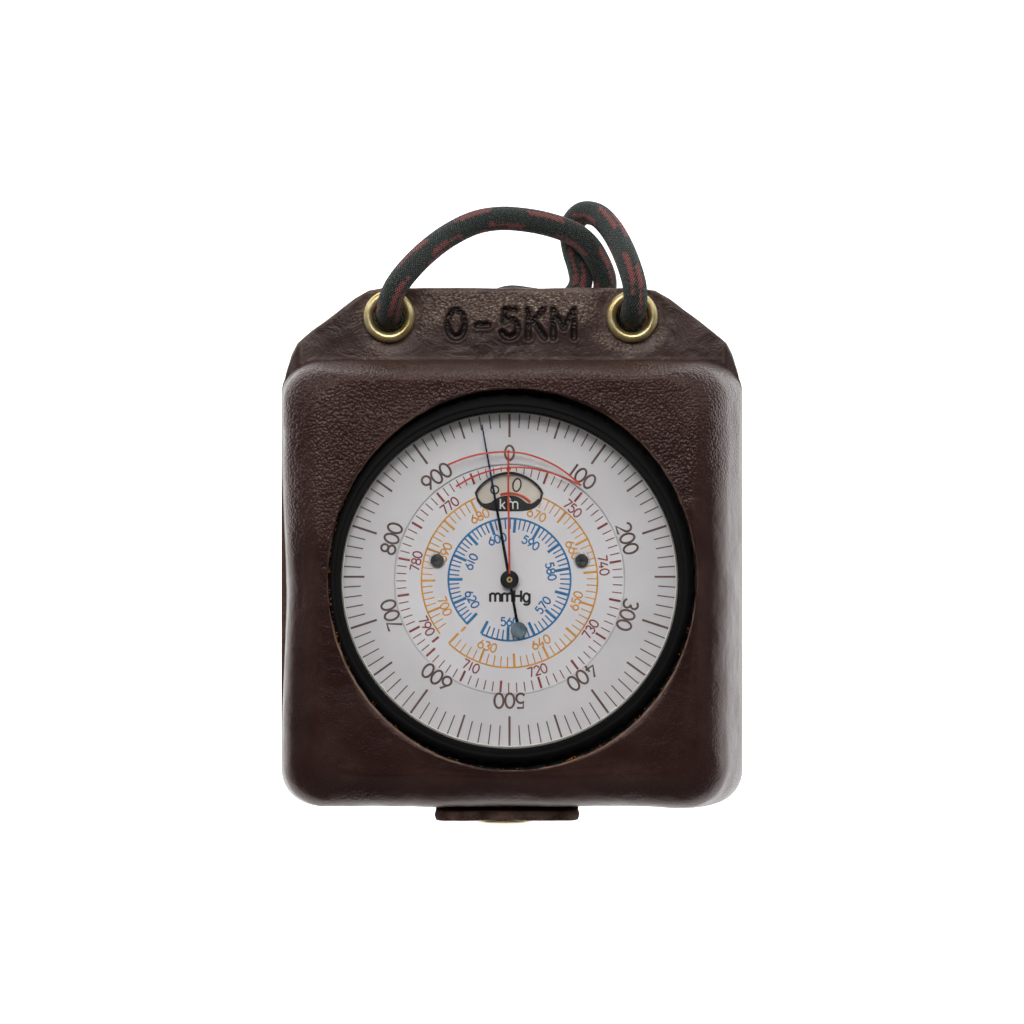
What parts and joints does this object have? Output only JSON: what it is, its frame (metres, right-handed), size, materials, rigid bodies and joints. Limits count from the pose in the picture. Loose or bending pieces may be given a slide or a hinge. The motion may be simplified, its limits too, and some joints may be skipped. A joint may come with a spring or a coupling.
{
  "type": "altimeter",
  "caption": "Pocket aneroid altimeter with a turning bezel, in a moulded leather case with a snap strap and a carrying cord.",
  "frame": {"origin": "on the dial's axis, in the plane of the closed case's flat rear face", "axes": "+Z out of the dial, +Y from the dial towards the lug with the eyelets, +X to the dial's right"},
  "size_m": [0.0847, 0.1143, 0.027],
  "materials": {
    "leather": "dark brown moulded leather, pebbled and glossed by wear",
    "brass": "bright brass",
    "steel": "plain steel",
    "blued_steel": "blued steel",
    "black_lacquer": "satin black lacquer on metal",
    "black_screw": "blackened steel",
    "dial_white": "matt pale grey dial paint on metal",
    "dial_cream": "cream paint on metal",
    "index_red": "red print",
    "crystal": "clear crystal",
    "silver": "silvered sheet",
    "ruby": "red synthetic ruby",
    "cord": "dark green-grey braided cord with brick red flecks"
  },
  "bodies": {
    "case": {"case_shell": "leather", "lug_backing": "leather", "left_eyelet": "brass", "right_eyelet": "brass", "eyelet_washers": "steel", "snap_stud": "brass", "snap_rivet": "brass", "lanyard": "cord", "left_knot": "cord", "right_knot": "cord", "housing": "black_lacquer", "rear_cover": "black_lacquer", "cover_screws": "steel", "bezel_spring_ring": "steel", "pressure_dial": "dial_white", "dial_screws": "black_screw", "dial_pillars": "steel", "km_stud": "steel", "shaft_brackets": "brass", "aneroid_capsules": "silver", "capsule_yoke": "brass", "yoke_pillars": "steel", "base_plate": "brass", "plate_screws": "steel", "top_bridge": "brass", "bridge_pillars": "steel", "bridge_screws": "steel", "hairspring": "blued_steel", "hairspring_stud": "steel", "jewels": "ruby"},
    "flap": {"back_flap": "leather"},
    "strap": {"closing_strap": "leather", "snap_cap": "brass", "snap_socket": "brass"},
    "bezel_unit": {"bezel": "black_lacquer", "crystal": "crystal", "crystal_spacer": "dial_cream", "altitude_ring": "dial_white", "ring_retainer": "black_lacquer", "red_index": "index_red"},
    "pointer_unit": {"pointer": "blued_steel", "pointer_hub": "black_lacquer", "centre_arbor": "steel"},
    "km_unit": {"km_disc": "dial_cream", "km_wheel": "brass"},
    "transfer_unit": {"transfer_wheel": "brass"},
    "sector_unit": {"sector_gear": "brass"},
    "rocker": {"rocking_shaft": "steel", "bimetal_arm": "brass"},
    "lift": {"capsule_link": "steel"}
  },
  "joints": [
    {"name": "flap_fold", "type": "hinge", "parent": "case", "child": "flap", "pos_m": [0.00045, 0.0393, 0.001], "axis": [1, 0, 0], "range_deg": [0, 110]},
    {"name": "strap_fold", "type": "hinge", "parent": "flap", "child": "strap", "pos_m": [-0.00045, -0.0427, 0.0072], "axis": [1, 0, 0], "range_deg": [0, 95]},
    {"name": "bezel_turn", "type": "hinge", "parent": "case", "child": "bezel_unit", "pos_m": [0, 0, 0.0235], "axis": [0, 0, 1], "continuous": true},
    {"name": "pointer_turn", "type": "hinge", "parent": "case", "child": "pointer_unit", "pos_m": [0, 0, 0.018], "axis": [0, 0, -1], "range_deg": [-90, 1810]},
    {"name": "km_turn", "type": "hinge", "parent": "case", "child": "km_unit", "pos_m": [0, 0.01035, 0.0206], "axis": [0, 0, 1], "range_deg": [-13.5, 271.5]},
    {"name": "transfer_turn", "type": "hinge", "parent": "case", "child": "transfer_unit", "pos_m": [0, -0.0072, 0.017], "axis": [0, 0, 1], "range_deg": [-18, 362]},
    {"name": "sector_turn", "type": "hinge", "parent": "case", "child": "sector_unit", "pos_m": [0.004, -0.0229, 0.0168], "axis": [0, 0, -1], "range_deg": [-1.44, 28.96]},
    {"name": "rocker_turn", "type": "hinge", "parent": "case", "child": "rocker", "pos_m": [0.004, -0.009, 0.0112], "axis": [0, 1, 0], "range_deg": [-1.44, 28.96]},
    {"name": "capsule_lift", "type": "slide", "parent": "case", "child": "lift", "axis": [0, 0, 1], "range_m": [-0.0001, 0.00202], "deforming": ["aneroid_capsules"]}
  ],
  "couplings": [
    {"joint": "rocker_turn", "follows": "capsule_lift", "rad_per_m": 250},
    {"joint": "sector_turn", "follows": "capsule_lift", "rad_per_m": 250},
    {"joint": "transfer_turn", "follows": "capsule_lift", "rad_per_m": 3125},
    {"joint": "pointer_turn", "follows": "capsule_lift", "rad_per_m": 15625},
    {"joint": "km_turn", "follows": "capsule_lift", "rad_per_m": 2343.8}
  ]
}
